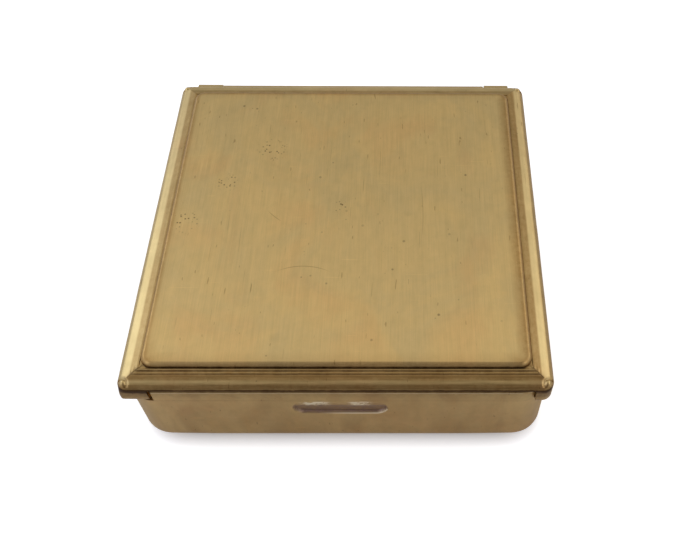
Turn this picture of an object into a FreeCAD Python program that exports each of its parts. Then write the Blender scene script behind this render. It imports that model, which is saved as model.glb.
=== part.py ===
import math
import os

import FreeCAD
import Part

# A square stamped-brass pill box with a hinged lid, in millimetres.
# X runs across the box, -Y is the front with the thumb recess, +Y is the hinge side, +Z is up.
# The origin is the middle of the flat underside, below the middle of the lid.

Vector = FreeCAD.Vector

# Overall size
BOX_WIDTH = 44.5
BOX_HEIGHT = 13.5
HALF = BOX_WIDTH / 2
LID_CORNER_RADIUS = 1.2

# Construction: how far cutting shapes run past what they cut, and how closely edges are matched
CUT_MARGIN = 1
LEVEL_TOLERANCE = 1e-6
FACE_TOLERANCE = 0.01

# Heights, from the flat underside
PANEL_SEAT = BOX_HEIGHT - 0.55
LID_CEILING = BOX_HEIGHT - 1.15
RIM_EDGE = BOX_HEIGHT - 1.5
TRAY_TOP = RIM_EDGE - 0.3
SKIRT_BOTTOM = RIM_EDGE - 1.9
TRAY_LEDGE = SKIRT_BOTTOM - 0.25

# Moulded border of the lid, as widths in from its outer face
LID_SHEET = 0.45
BEAD_RADIUS = 0.55
BEAD_DROP = 0.2
BEAD_MIDDLE_ANGLE = 60
COVE_START = 0.95
COVE_DIP = 0.05
GROOVE_INSET = 1.64
GROOVE_DEPTH = 0.1
FINE_BEAD_RISE = 0.13
PANEL_INSET = 2.2
PANEL_SHOULDER = 0.54
PANEL_CORNER_RADIUS = 1.3
BORDER_OVERLAP = 0.4
SHEET_OVERLAP = 0.2

# Where the lid's skirt is cut away
FRONT_CUT_LEFT = -19.2
FRONT_CUT_RIGHT = 20.4
FRONT_CUT_DEPTH = 3
REAR_CUT_Y = 19.6
BOW_CENTRE_X = 0.8
BOW_WIDTH = 4.8
BOW_RISE = 0.16

# Tray, set in by its own sheet above the ledge so that the lid's skirt lies flush
TRAY_HALF_X = 22.05
TRAY_FRONT_Y = -22.2
TRAY_REAR_Y = 21.2
TRAY_SHEET = 0.5
TRAY_CORNER_RADIUS = 3.2
TRAY_BOTTOM_RADIUS = 2.5
NECK_FRONT_Y = -21.55
NECK_OVERLAP = 1
HEM_SIDE_GAP = 0.35
HEM_EDGE_RADIUS = 0.15

# Thumb recess in the tray's front wall
RECESS_CENTRE_X = 0.2
RECESS_CENTRE_Z = RIM_EDGE - 3.75
RECESS_LENGTH = 9.9
RECESS_HEIGHT = 2.6
RECESS_DEPTH = 0.45
RECESS_BACK_MARGIN = 0.45
RECESS_BACK_OVERLAP = 0.1

# Bezel inside the mouth of the tray
BEZEL_SHEET = 0.35
BEZEL_BOTTOM = TRAY_TOP - 2.8
BEZEL_TOP = LID_CEILING - 0.13
BEZEL_REAR_TOP = TRAY_TOP

# Hinge
AXIS_Y = 22.6
AXIS_Z = RIM_EDGE - 1.1
PIN_RADIUS = 0.4
LID_BORE_RADIUS = 0.45
LID_KNUCKLE_RADIUS = 0.9
TRAY_KNUCKLE_RADIUS = 1.0
HINGE_HALF_LENGTH = 20.4
END_KNUCKLE_LENGTH = 3.1
KNUCKLE_GAP = 0.15
LEAF_SHEET = 0.35
LID_FLANGE_DEPTH = 3.6
KNUCKLE_OVERLAP = 0.1
TRAY_LEAF_BOTTOM = AXIS_Z - 5.0
TRAY_LEAF_TOP = AXIS_Z - 1.2
KNUCKLE_FOOT_DEPTH = 0.8
KNUCKLE_FOOT_BOTTOM = AXIS_Z - 1.7

# Catch
TONGUE_HALF_WIDTH = 4.0
TONGUE_FACE_Y = -19.9
TONGUE_BOTTOM = LID_CEILING - 3.1
TONGUE_FLANGE_DEPTH = 2.2
SPRING_SHEET = 0.2
SPRING_HALF_LENGTH = 7.0
SPRING_TAB_LENGTH = 1.6
SPRING_BOTTOM = BEZEL_BOTTOM + 0.3
SPRING_TOP = BEZEL_BOTTOM + 2.0
CATCH_CLEARANCE = 0.05

# Compartment dividers
DIVIDER_SHEET = 0.4
DIVIDER_TOP = BEZEL_BOTTOM - 1.3
DIVIDER_END_GAP = 0.05
SLOT_CLEARANCE = 0.02


def box(x0, x1, y0, y1, z0, z1):
    """A plain block between two corners."""
    return Part.makeBox(x1 - x0, y1 - y0, z1 - z0, Vector(x0, y0, z0))


def outline(x0, x1, y0, y1, radius, z):
    """A rounded rectangle as a closed wire at height z."""
    corners = [
        (x1 - radius, y0 + radius, -90),
        (x1 - radius, y1 - radius, 0),
        (x0 + radius, y1 - radius, 90),
        (x0 + radius, y0 + radius, 180),
    ]
    arcs = []
    for centre_x, centre_y, start in corners:
        points = []
        for angle in (start, start + 45, start + 90):
            turn = math.radians(angle)
            points.append(Vector(centre_x + radius * math.cos(turn), centre_y + radius * math.sin(turn), z))
        arcs.append(points)
    edges = []
    for index, points in enumerate(arcs):
        edges.append(Part.Arc(*points).toShape())
        edges.append(Part.makeLine(points[2], arcs[(index + 1) % 4][0]))
    return Part.Wire(edges)


def rounded_prism(x0, x1, y0, y1, radius, z0, z1):
    """An upright prism with rounded corners in plan."""
    return Part.Face(outline(x0, x1, y0, y1, radius, z0)).extrude(Vector(0, 0, z1 - z0))


def edges_at(shape, z):
    """The edges that lie flat at height z."""
    found = []
    for edge in shape.Edges:
        bounds = edge.BoundBox
        if max(abs(bounds.ZMin - z), abs(bounds.ZMax - z)) < LEVEL_TOLERANCE:
            found.append(edge)
    return found


def joined(shapes):
    """One solid from several that overlap or touch."""
    return shapes[0].fuse(shapes[1:]).removeSplitter()


def rod(radius, x0, x1, y, z):
    """A round bar along X."""
    return Part.makeCylinder(radius, x1 - x0, Vector(x0, y, z), Vector(1, 0, 0))


def border_section(innermost):
    """Section of the lid's border as far in as given: skirt, round bead, cove, groove and fine bead."""
    def at(inset, z):
        return Vector(HALF - inset, 0, z)

    bead_z = PANEL_SEAT - BEAD_DROP - BEAD_RADIUS
    cove_z = bead_z + math.sqrt(BEAD_RADIUS**2 - (COVE_START - BEAD_RADIUS)**2)
    groove_z = PANEL_SEAT - GROOVE_DEPTH
    turn = math.radians(BEAD_MIDDLE_ANGLE)
    bead_middle = at(BEAD_RADIUS * (1 - math.cos(turn)), bead_z + BEAD_RADIUS * math.sin(turn))
    cove_middle = at((COVE_START + GROOVE_INSET) / 2, (cove_z + groove_z) / 2 - COVE_DIP)
    fine_crest = at((GROOVE_INSET + PANEL_INSET) / 2, PANEL_SEAT + FINE_BEAD_RISE)
    bead_foot = at(0, bead_z)
    cove_foot = at(COVE_START, cove_z)
    groove = at(GROOVE_INSET, groove_z)
    seat = at(PANEL_INSET, PANEL_SEAT)
    corners = [
        seat,
        at(PANEL_INSET + BORDER_OVERLAP, PANEL_SEAT),
        at(PANEL_INSET + BORDER_OVERLAP, LID_CEILING),
        at(LID_SHEET, LID_CEILING),
        at(LID_SHEET, SKIRT_BOTTOM),
        at(0, SKIRT_BOTTOM),
        bead_foot,
    ]
    edges = [Part.makeLine(start, end) for start, end in zip(corners, corners[1:])]
    edges.append(Part.Arc(bead_foot, bead_middle, cove_foot).toShape())
    edges.append(Part.Arc(cove_foot, cove_middle, groove).toShape())
    edges.append(Part.Arc(groove, fine_crest, seat).toShape())
    face = Part.Face(Part.Wire(Part.__sortEdges__(edges)))
    return face.common(box(HALF - innermost, HALF + CUT_MARGIN, -CUT_MARGIN, CUT_MARGIN, 0, BOX_HEIGHT))


def lid_border():
    """The border's section carried round four sides, mitred inside and rounded at the outer corners."""
    straight = HALF - LID_CORNER_RADIUS
    side = border_section(HALF / 2).extrude(Vector(0, 2 * HALF, 0)).translated(Vector(0, -HALF, 0))
    triangle = [Vector(0, 0, 0), Vector(HALF, -HALF, 0), Vector(HALF, HALF, 0), Vector(0, 0, 0)]
    wedge = Part.Face(Part.makePolygon(triangle)).extrude(Vector(0, 0, BOX_HEIGHT))
    low_corner = box(straight, HALF, -HALF, -straight, 0, BOX_HEIGHT)
    high_corner = box(straight, HALF, straight, HALF, 0, BOX_HEIGHT)
    side = side.common(wedge).cut([low_corner, high_corner])
    corner = border_section(LID_CORNER_RADIUS).translated(Vector(0, straight, 0))
    corner = corner.revolve(Vector(straight, straight, 0), Vector(0, 0, 1), 90)
    pieces = []
    for quarter in range(4):
        for piece in (side, corner):
            turned = piece.copy()
            turned.rotate(Vector(0, 0, 0), Vector(0, 0, 1), 90 * quarter)
            pieces.append(turned)
    return pieces


def lid_frame():
    """Stamped lid: moulded border, a sheet below the panel, and skirts on the sides and front corners."""
    reach = HALF - PANEL_INSET - SHEET_OVERLAP
    sheet = box(-reach, reach, -reach, reach, LID_CEILING, PANEL_SEAT)
    frame = joined(lid_border() + [sheet])
    below = SKIRT_BOTTOM - CUT_MARGIN
    outside = HALF + CUT_MARGIN
    front_cut = box(FRONT_CUT_LEFT, FRONT_CUT_RIGHT, -outside, -HALF + FRONT_CUT_DEPTH, below, RIM_EDGE)
    rear_cut = box(-outside, outside, REAR_CUT_Y, outside, below, RIM_EDGE)
    bow_radius = ((BOW_WIDTH / 2)**2 + BOW_RISE**2) / (2 * BOW_RISE)
    bow_centre = Vector(BOW_CENTRE_X, -outside, RIM_EDGE + BOW_RISE - bow_radius)
    bow = Part.makeCylinder(bow_radius, 2 * CUT_MARGIN, bow_centre, Vector(0, 1, 0))
    return frame.cut([front_cut, rear_cut, bow]).removeSplitter()


def lid_panel():
    """The raised brushed plate, with a rounded shoulder all round."""
    reach = HALF - PANEL_INSET
    plate = rounded_prism(-reach, reach, -reach, reach, PANEL_CORNER_RADIUS, PANEL_SEAT, BOX_HEIGHT)
    return plate.makeFillet(PANEL_SHOULDER, edges_at(plate, BOX_HEIGHT))


def basin(inset, top):
    """The lower part of the tray with its rounded bottom edge, or its hollow."""
    body = rounded_prism(
        -TRAY_HALF_X + inset, TRAY_HALF_X - inset, TRAY_FRONT_Y + inset, TRAY_REAR_Y - inset,
        TRAY_CORNER_RADIUS - inset, inset, top
    )
    return body.makeFillet(TRAY_BOTTOM_RADIUS - inset, edges_at(body, inset))


def neck(inset, bottom, top):
    """The upper part of the tray, set in from the lower part on every side but the hinge side."""
    return rounded_prism(
        -TRAY_HALF_X + TRAY_SHEET + inset, TRAY_HALF_X - TRAY_SHEET - inset,
        NECK_FRONT_Y + inset, TRAY_REAR_Y - inset,
        TRAY_CORNER_RADIUS - TRAY_SHEET - inset, bottom, top
    )


def obround(margin, y0, y1):
    """An upright slab with round ends, as large as the thumb recess and a margin."""
    radius = RECESS_HEIGHT / 2 + margin
    reach = (RECESS_LENGTH - RECESS_HEIGHT) / 2
    left = RECESS_CENTRE_X - reach
    right = RECESS_CENTRE_X + reach
    pieces = [box(left, right, y0, y1, RECESS_CENTRE_Z - radius, RECESS_CENTRE_Z + radius)]
    for x in (left, right):
        pieces.append(Part.makeCylinder(radius, y1 - y0, Vector(x, y0, RECESS_CENTRE_Z), Vector(0, 1, 0)))
    return joined(pieces)


def front_hem():
    """The folded upper edge of the tray's front wall, flush between the lid's corner skirts."""
    left = FRONT_CUT_LEFT + HEM_SIDE_GAP
    right = FRONT_CUT_RIGHT - HEM_SIDE_GAP
    hem = box(left, right, TRAY_FRONT_Y, NECK_FRONT_Y + TRAY_SHEET / 2, TRAY_LEDGE - TRAY_SHEET, TRAY_TOP)
    upper_front = [
        edge for edge in edges_at(hem, TRAY_TOP)
        if edge.BoundBox.YMax < TRAY_FRONT_Y + FACE_TOLERANCE
    ]
    return hem.makeFillet(HEM_EDGE_RADIUS, upper_front)


def tray_shell():
    """Stamped tray: basin, set-in neck, front hem and the thumb recess pressed into the front wall."""
    neck_bottom = TRAY_LEDGE - NECK_OVERLAP
    outside = joined([basin(0, TRAY_LEDGE), neck(0, neck_bottom, TRAY_TOP)])
    hollow = basin(TRAY_SHEET, TRAY_LEDGE - TRAY_SHEET)
    inside = joined([hollow, neck(TRAY_SHEET, neck_bottom, TRAY_TOP + CUT_MARGIN)])
    inner_y = TRAY_FRONT_Y + TRAY_SHEET
    back = obround(RECESS_BACK_MARGIN, inner_y - RECESS_BACK_OVERLAP, inner_y + RECESS_DEPTH)
    pocket = obround(0, TRAY_FRONT_Y - CUT_MARGIN, TRAY_FRONT_Y + RECESS_DEPTH)
    return joined([outside.cut(inside), front_hem(), back]).cut(pocket).removeSplitter()


def tray_bezel():
    """Thin frame inside the tray's mouth that the lid closes over, lower along the hinge."""
    outer = neck(TRAY_SHEET, BEZEL_BOTTOM, BEZEL_TOP)
    above = BEZEL_TOP + CUT_MARGIN
    inner = neck(TRAY_SHEET + BEZEL_SHEET, BEZEL_BOTTOM - CUT_MARGIN, above)
    rear_relief = box(-HALF, HALF, TRAY_REAR_Y - TRAY_CORNER_RADIUS, HALF, BEZEL_REAR_TOP, above)
    return outer.cut([inner, rear_relief])


def lid_hinge_leaf():
    """Long centre knuckle with a cranked leaf soldered below the lid's sheet."""
    reach = HINGE_HALF_LENGTH - END_KNUCKLE_LENGTH - KNUCKLE_GAP
    web_back = HALF - LID_SHEET
    barrel = rod(LID_KNUCKLE_RADIUS, -reach, reach, AXIS_Y, AXIS_Z)
    web = box(-reach, reach, web_back - LEAF_SHEET, web_back, AXIS_Z, LID_CEILING)
    flange = box(-reach, reach, web_back - LID_FLANGE_DEPTH, web_back, LID_CEILING - LEAF_SHEET, LID_CEILING)
    bridge = box(-reach, reach, web_back - KNUCKLE_OVERLAP, AXIS_Y, AXIS_Z, AXIS_Z + LEAF_SHEET)
    bore = rod(LID_BORE_RADIUS, -reach - CUT_MARGIN, reach + CUT_MARGIN, AXIS_Y, AXIS_Z)
    return joined([barrel, web, flange, bridge]).cut(bore)


def tray_hinge_leaf():
    """Strip soldered to the tray's rear wall, with a short knuckle at each end."""
    wall = TRAY_REAR_Y
    strip = box(
        -HINGE_HALF_LENGTH, HINGE_HALF_LENGTH, wall, wall + LEAF_SHEET, TRAY_LEAF_BOTTOM, TRAY_LEAF_TOP
    )
    pieces = [strip]
    for x0 in (-HINGE_HALF_LENGTH, HINGE_HALF_LENGTH - END_KNUCKLE_LENGTH):
        x1 = x0 + END_KNUCKLE_LENGTH
        pieces.append(rod(TRAY_KNUCKLE_RADIUS, x0, x1, AXIS_Y, AXIS_Z))
        pieces.append(box(x0, x1, wall, wall + KNUCKLE_FOOT_DEPTH, KNUCKLE_FOOT_BOTTOM, AXIS_Z))
    bore = rod(PIN_RADIUS, -HINGE_HALF_LENGTH - CUT_MARGIN, HINGE_HALF_LENGTH + CUT_MARGIN, AXIS_Y, AXIS_Z)
    return joined(pieces).cut(bore)


def hinge_pin():
    """Wire pin, tight in the end knuckles and free in the centre one."""
    return rod(PIN_RADIUS, -HINGE_HALF_LENGTH, HINGE_HALF_LENGTH, AXIS_Y, AXIS_Z)


def lid_catch_tongue():
    """Tongue below the lid's front edge that the catch spring grips."""
    front = TONGUE_FACE_Y
    blade = box(
        -TONGUE_HALF_WIDTH, TONGUE_HALF_WIDTH, front, front + LEAF_SHEET, TONGUE_BOTTOM, LID_CEILING
    )
    flange = box(
        -TONGUE_HALF_WIDTH, TONGUE_HALF_WIDTH, front, front + TONGUE_FLANGE_DEPTH,
        LID_CEILING - LEAF_SHEET, LID_CEILING
    )
    return joined([blade, flange])


def catch_spring():
    """Bowed leaf spring inside the tray's front, soldered to the bezel at both ends."""
    wall = NECK_FRONT_Y + TRAY_SHEET + BEZEL_SHEET
    crest = TONGUE_FACE_Y - CATCH_CLEARANCE
    bow_end = SPRING_HALF_LENGTH - SPRING_TAB_LENGTH
    sections = []
    for offset in (0, SPRING_SHEET):
        start = Vector(-bow_end, wall + offset, SPRING_BOTTOM)
        middle = Vector(0, crest - SPRING_SHEET + offset, SPRING_BOTTOM)
        end = Vector(bow_end, wall + offset, SPRING_BOTTOM)
        sections.append((start, middle, end))
    near, far = sections
    tab_left = [Vector(-SPRING_HALF_LENGTH, point.y, SPRING_BOTTOM) for point in (near[0], far[0])]
    tab_right = [Vector(SPRING_HALF_LENGTH, point.y, SPRING_BOTTOM) for point in (near[2], far[2])]
    edges = [
        Part.makeLine(tab_left[0], near[0]),
        Part.Arc(*near).toShape(),
        Part.makeLine(near[2], tab_right[0]),
        Part.makeLine(tab_right[0], tab_right[1]),
        Part.makeLine(tab_right[1], far[2]),
        Part.Arc(*far).toShape(),
        Part.makeLine(far[0], tab_left[1]),
        Part.makeLine(tab_left[1], tab_left[0]),
    ]
    return Part.Face(Part.Wire(edges)).extrude(Vector(0, 0, SPRING_TOP - SPRING_BOTTOM))


def divider(along_x):
    """One of two crossed strips that part the tray into four compartments, halved into the other."""
    half_sheet = DIVIDER_SHEET / 2
    slot_half = half_sheet + SLOT_CLEARANCE
    middle_y = (TRAY_FRONT_Y + TRAY_REAR_Y) / 2
    middle_z = (TRAY_SHEET + DIVIDER_TOP) / 2
    if along_x:
        strip = box(-HALF, HALF, middle_y - half_sheet, middle_y + half_sheet, TRAY_SHEET, DIVIDER_TOP)
        slot_front = middle_y - CUT_MARGIN
        slot_rear = middle_y + CUT_MARGIN
        slot = box(-slot_half, slot_half, slot_front, slot_rear, middle_z, DIVIDER_TOP + CUT_MARGIN)
    else:
        front = TRAY_FRONT_Y + TRAY_SHEET + RECESS_DEPTH + DIVIDER_END_GAP
        strip = box(-half_sheet, half_sheet, front, HALF, TRAY_SHEET, DIVIDER_TOP)
        slot_top = middle_z + SLOT_CLEARANCE
        slot = box(-CUT_MARGIN, CUT_MARGIN, middle_y - slot_half, middle_y + slot_half, 0, slot_top)
    hollow = basin(TRAY_SHEET + DIVIDER_END_GAP, DIVIDER_TOP + CUT_MARGIN)
    hollow = hollow.translated(Vector(0, 0, -DIVIDER_END_GAP))
    return strip.common(hollow).cut(slot)


NODES = {
    "lid_frame": lid_frame,
    "lid_panel": lid_panel,
    "lid_hinge_leaf": lid_hinge_leaf,
    "lid_catch_tongue": lid_catch_tongue,
    "hinge_pin": hinge_pin,
    "tray_hinge_leaf": tray_hinge_leaf,
    "tray_shell": tray_shell,
    "tray_bezel": tray_bezel,
    "catch_spring": catch_spring,
    "divider_crosswise": lambda: divider(True),
    "divider_lengthwise": lambda: divider(False),
}

os.makedirs("parts", exist_ok=True)
for name, make in NODES.items():
    shape = make()
    print(name, "solids", len(shape.Solids), "valid", shape.isValid(), "volume", round(shape.Volume, 2))
    shape.exportStep("parts/" + name + ".step")
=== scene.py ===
import math

import bmesh
import bpy
from mathutils import Matrix, Vector, noise


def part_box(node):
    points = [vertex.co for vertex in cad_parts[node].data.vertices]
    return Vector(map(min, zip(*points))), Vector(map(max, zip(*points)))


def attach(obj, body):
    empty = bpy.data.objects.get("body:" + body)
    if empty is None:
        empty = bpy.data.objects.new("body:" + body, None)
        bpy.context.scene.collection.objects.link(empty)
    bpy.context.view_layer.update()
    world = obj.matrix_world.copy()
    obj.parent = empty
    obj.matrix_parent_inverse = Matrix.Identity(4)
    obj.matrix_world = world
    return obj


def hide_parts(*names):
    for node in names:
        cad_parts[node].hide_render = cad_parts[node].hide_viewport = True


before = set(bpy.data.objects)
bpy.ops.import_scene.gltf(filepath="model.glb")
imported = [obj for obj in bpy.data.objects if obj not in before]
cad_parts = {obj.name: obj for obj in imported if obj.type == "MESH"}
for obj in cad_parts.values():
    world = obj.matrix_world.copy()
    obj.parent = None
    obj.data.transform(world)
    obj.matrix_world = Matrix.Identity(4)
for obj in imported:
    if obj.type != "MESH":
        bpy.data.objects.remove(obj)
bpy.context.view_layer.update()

# Lengths below are in millimetres, in the CAD frame, unless their name says otherwise.
MM = 0.001
WELD = 0.002
SHORTEST_EDGE = 0.001
SHARP_ANGLE = 35
LID_LOW, LID_HIGH = (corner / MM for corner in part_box("lid_frame"))
PANEL_LOW, PANEL_HIGH = (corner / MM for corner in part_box("lid_panel"))
TRAY_LOW, TRAY_HIGH = (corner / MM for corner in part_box("tray_shell"))

# Lid border, as widths in from the outer face
HALF = LID_HIGH.x
LID_CORNER = 1.2
LID_SHEET = 0.45
PANEL_SEAT = PANEL_LOW.z
LID_CEILING = PANEL_SEAT - 0.6
RIM_EDGE = PANEL_HIGH.z - 1.56
SKIRT_BOTTOM = LID_LOW.z
SKIRT_CORNER = 0.5
SKIRT_CORNER_END = 0.6
SKIRT_TILT = 0.12
END_LENGTH = 1.6
BEAD_TOP = 12.3
CORNER_CURL = 2.4
BALL_PLACE = 21.68
BALL_RADIUS = 0.45
BALL_RISE = 0.13
BALL_FOOT = (BALL_RADIUS * 1.25, BALL_RADIUS / 2)
CREASE_DEPTH = 0.08
CREASE_GAP = 0.02
BORDER_POINTS = [
    (2.16, 12.89), (2.10, 12.98), (2.01, 13.01), (1.92, 12.98), (1.84, 12.93), (1.76, 12.94),
    (1.66, 12.95), (1.56, 12.92), (1.47, 12.855), (1.39, 12.865), (1.15, 12.805), (0.9, 12.74),
    (0.66, 12.67), (0.45, 12.58), (0.26, 12.44), (0.1, 12.23), (0.02, 12.06), (0.0, 11.98),
]
SIDE_SLOPE = ((1.39, 12.865), (2.0, 12.97))
SLOPE_FADE = (-0.8, 0.2)
CURVE_STEPS = 4
PANEL_INSET = HALF - PANEL_HIGH.x
PANEL_OVERLAP = 0.3
WALL_ROWS = 6
WALL_LEAST = 0.02
EDGE_ROUNDING = 0.1
EDGE_CURVE = ((0.3, 0.7), (1.0, 1.0))
CURL_LIFT = 0.5
CEILING_FILLET = 0.25
FILLET_MIDDLE = 0.07
TOUCH = 0.01
LID_SPACING = 0.8
LID_END_SPACING = 0.12
LID_CORNER_STEPS = 14
LID_DENTS = (3.5, 0.035, 1.7)
FRONT_CUT = (-19.2, 20.4)
REAR_CUT_Y = 19.6
BOW_CENTRE = 0.8
BOW_WIDTH = 4.8
BOW_RISE = 0.16
BOW_STEPS = 6

# Wear on the lid, with painted shade and painted highlights. A fade is 0 at its first value and 1 at its
# second; a band is a middle, a half width and a strength. The fades of front, right and skirt are distances
# across the mitres.
FRONT_FADE = (-0.8, 0.6)
RIGHT_FADE = (-0.4, 0.4)
FACING_FADE = (-1.2, 0.3)
SKIRT_FADE = (-2.2, 0.0)
INSIDE_TARNISH = 0.25
# Dark bands of dirt and painted shade in the grooves and the front cove.
FINE_GROOVE = (1.84, 0.2, 0.9)
COVE_GROOVE = (1.47, 0.1, 0.75)
COVE_DIRT_AND_SHADE = (1.3, 0.25, 0.2)
# Tarnish and painted shade in the front cove; lighter bands on the beads' crests are painted highlights.
COVE_TARNISH_AND_SHADE = (1.3, 0.25, 0.3)
FACE_PAINTED_HIGHLIGHT = (0.68, 0.35, 0.9)
BEAD_PAINTED_HIGHLIGHT = (2.01, 0.13, 0.8)
# Dirt and painted shade round the panel's foot and in the mitres.
FOOT_FADE = (0.03, 0.16)
FOOT_SIDES = 0.05
MITRE_START = 1.15
MITRE_WIDTH = 0.18
MITRE_FRONT = 0.8
MITRE_REAR = 0.15
# Painted shade under the rim's edge and on the front skirt.
RIM_SHADES = ((0.6, 0.25, 0.4), (0.3, 0.1, 1.3))
RIM_FOOT = (-0.5, -0.1)
SKIRT_SHADE = (0.3, 0.9, 0.55)
# Strength of the painted dark ring round the front corner balls.
BALL_PAINTED_SHADE = 0.35
INNER_FADE = (1.2, 1.5)
INNER_TARNISH = 0.75
OUTER_FADE = (0.8, 0.35)
OUTER_TARNISH = 0.8

# Raised panel
PANEL_CORNER = 1.3
PANEL_SHOULDER = 0.54
PANEL_SPACING = 1.0
PANEL_CORNER_STEPS = 10
PANEL_TUCK = 0.4
PANEL_ROUNDNESS = 0.4
PANEL_BULGE = 0.5
PANEL_HOLLOWS = (9.0, 0.03, 4.2)
SHOULDER_STEPS = 8
TOP_MARGIN = (0.3, 0.5)
TOP_SPACING = 0.8
PANEL_FADE = (-0.5, 0.5)
CORNER_TARNISH = (0, 2.5, 0.8)
SHOULDER_FADE = (PANEL_SHOULDER * 0.8, PANEL_SHOULDER * 1.3)
SHOULDER_TARNISH = 0.75
RIM_TARNISH = 0.2
RIM_FADE = (0.45, 1.5)
FRONT_RIM_TARNISH = 0.1
FRONT_RIM_FADE = (0.3, 2.0)
FOOT_HEIGHTS = (0.1, 0.42)
FOOT_LEAST = 0.1

# Tray
TRAY_HALF_X = TRAY_HIGH.x
TRAY_HALF_Y = (TRAY_HIGH.y - TRAY_LOW.y) / 2
TRAY_MIDDLE_Y = (TRAY_HIGH.y + TRAY_LOW.y) / 2
TRAY_TOP = TRAY_HIGH.z
TRAY_SHEET = 0.5
TRAY_CORNER = 3.2
TRAY_FOOT_RADIUS = 2.5
CORNER_PULL = 1.6
CORNER_REACH = 9.0
TRAY_LEDGE = SKIRT_BOTTOM - 0.25
NECK_INSET = 0.5
NECK_FRONT_INSET = 0.65
HEM_SPAN = (FRONT_CUT[0] + 0.06, FRONT_CUT[1] - 0.05)
RECESS_CENTRE = (0.2, RIM_EDGE - 3.75)
RECESS_LENGTH = 9.9
RECESS_HEIGHT = 2.5
RECESS_DEPTH = 0.34
RECESS_SLOPE = (-0.2, 2.0)
RECESS_RIM = (-0.16, 0.02)
RECESS_MARGIN = 0.3
HEM_STEP = 0.02
TRAY_SPACING = 1.0
TRAY_CORNER_STEPS = 12
FINE_REACH = 0.4
FINE_SPACING = 0.16
FOOT_LAP = 0.1
FOOT_STEPS = 10
INNER_FOOT_STEPS = 8
WALL_SPACING = 0.8
RECESS_SPACING = 0.03
UPPER_SPACING = 0.1
INSIDE_SPACING = 0.3
LEDGE_CHAMFER = 0.03
LEDGE_MARGIN = 0.1
LIP_BEVEL = 0.12
NECK_ROWS_DOWN = (0.42, 0.3, 0.21, 0.12)

# Wear, painted shade and painted highlights on the tray. Depths are below the recess's upper edge, heights
# below the neck's top.
# The recess's lower part: worn plating, partly darkened as painted shade.
WORN_FADE = (0.1, -0.1)
WORN_DEPTHS = (0.55, 1.0)
FLAKE_GROUPS = ((-2.3, 1.9), (2.3, 1.5))
FLAKE_GAIN = 2
FLAKE_START = (-0.3, 0.0)
FLAKE_END = (1.15, 0.8)
# Along the recess's lower edge: a whitened line, worn edge and painted highlight, and a painted dark line
# just inside it.
WORN_EDGE_HIGHLIGHT_BAND = (0.01, 0.08, 1.0)
WORN_EDGE_HIGHLIGHT_ALONG = (-2.5, 0.8)
RECESS_PAINTED_SHADE = (-0.13, 0.13, 1.0)
# The front neck under the lid: painted shade, darkest at the top, and a painted highlight just below its top
# edge.
HEM_PAINTED_SHADE = 0.3
HEM_PAINTED_SHADE_ABOVE = 0.5
HEM_PAINTED_SHADE_FADE = (0.2, 0.08)
HEM_PAINTED_HIGHLIGHT = (0.21, 0.09, 0.5)

# Camera, at the photograph's viewing angle
CAMERA_PLACE = Vector((7.36, -61.9, 88.65))
CAMERA_PITCH = 54.45
CAMERA_YAW = 0.84
CAMERA_ROLL = 0.78
CAMERA_LENS = 44.7
CAMERA_SHIFT = -0.1116
CAMERA_NEAR = 5

# Studio. The surround's colour runs from the front, -1, to the rear, 1, and turns cooler at both sides.
FLOOR_REACH = 900
FLOOR_TONE = 0.85
FLOOR_GLOW = 0.7
SKY_STRENGTH = 1.0
SKY_ALONG = [
    (-1.0, (0.16, 0.14, 0.135)),
    (-0.2, (0.25, 0.225, 0.215)),
    (0.1, (0.3, 0.28, 0.27)),
    (0.36, (0.8, 0.78, 0.76)),
    (0.52, (0.76, 0.75, 0.74)),
    (0.7, (0.38, 0.38, 0.38)),
    (1.0, (0.44, 0.44, 0.44)),
]
SKY_SIDES = [
    (-0.3, -0.62, (0.5, 0.53, 0.62), (0.86, 0.92, 1.12)),
    (0.3, 0.62, (0.42, 0.44, 0.48), (0.95, 0.95, 1.02)),
]
SKY_RISE = (0.05, 0.5)
# How far the floor's painted shadow reaches from the box.
PAINTED_SHADOW_REACH = 1.7
# Softboxes aimed at the box: place, size, watts, colour.
LIGHTS = {
    "left": ((-260, 150, 200), (120, 160), 0.05, (0.8, 0.9, 1.0)),
    "right": ((260, 150, 200), (120, 160), 0.035, (0.85, 0.93, 1.0)),
    "glint_left": ((-190, -120, 260), (26, 26), 0.02, (1.0, 1.0, 1.0)),
    "glint_right": ((190, -120, 260), (26, 26), 0.016, (1.0, 1.0, 1.0)),
}


# ---------------------------------------------------------------- meshes

def arc(centre, radius, start, end, steps):
    """Points (inset, z) along an arc, angles in degrees, 0 towards larger inset and 90 up."""
    points = []
    for step in range(steps + 1):
        turn = math.radians(start + (end - start) * step / steps)
        points.append((centre[0] + radius * math.cos(turn), centre[1] + radius * math.sin(turn)))
    return points


def spaced(low, high, spacing):
    """Evenly spaced values from low to high, no further apart than spacing."""
    count = max(1, math.ceil((high - low) / spacing))
    return [low + (high - low) * step / count for step in range(count + 1)]


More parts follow.
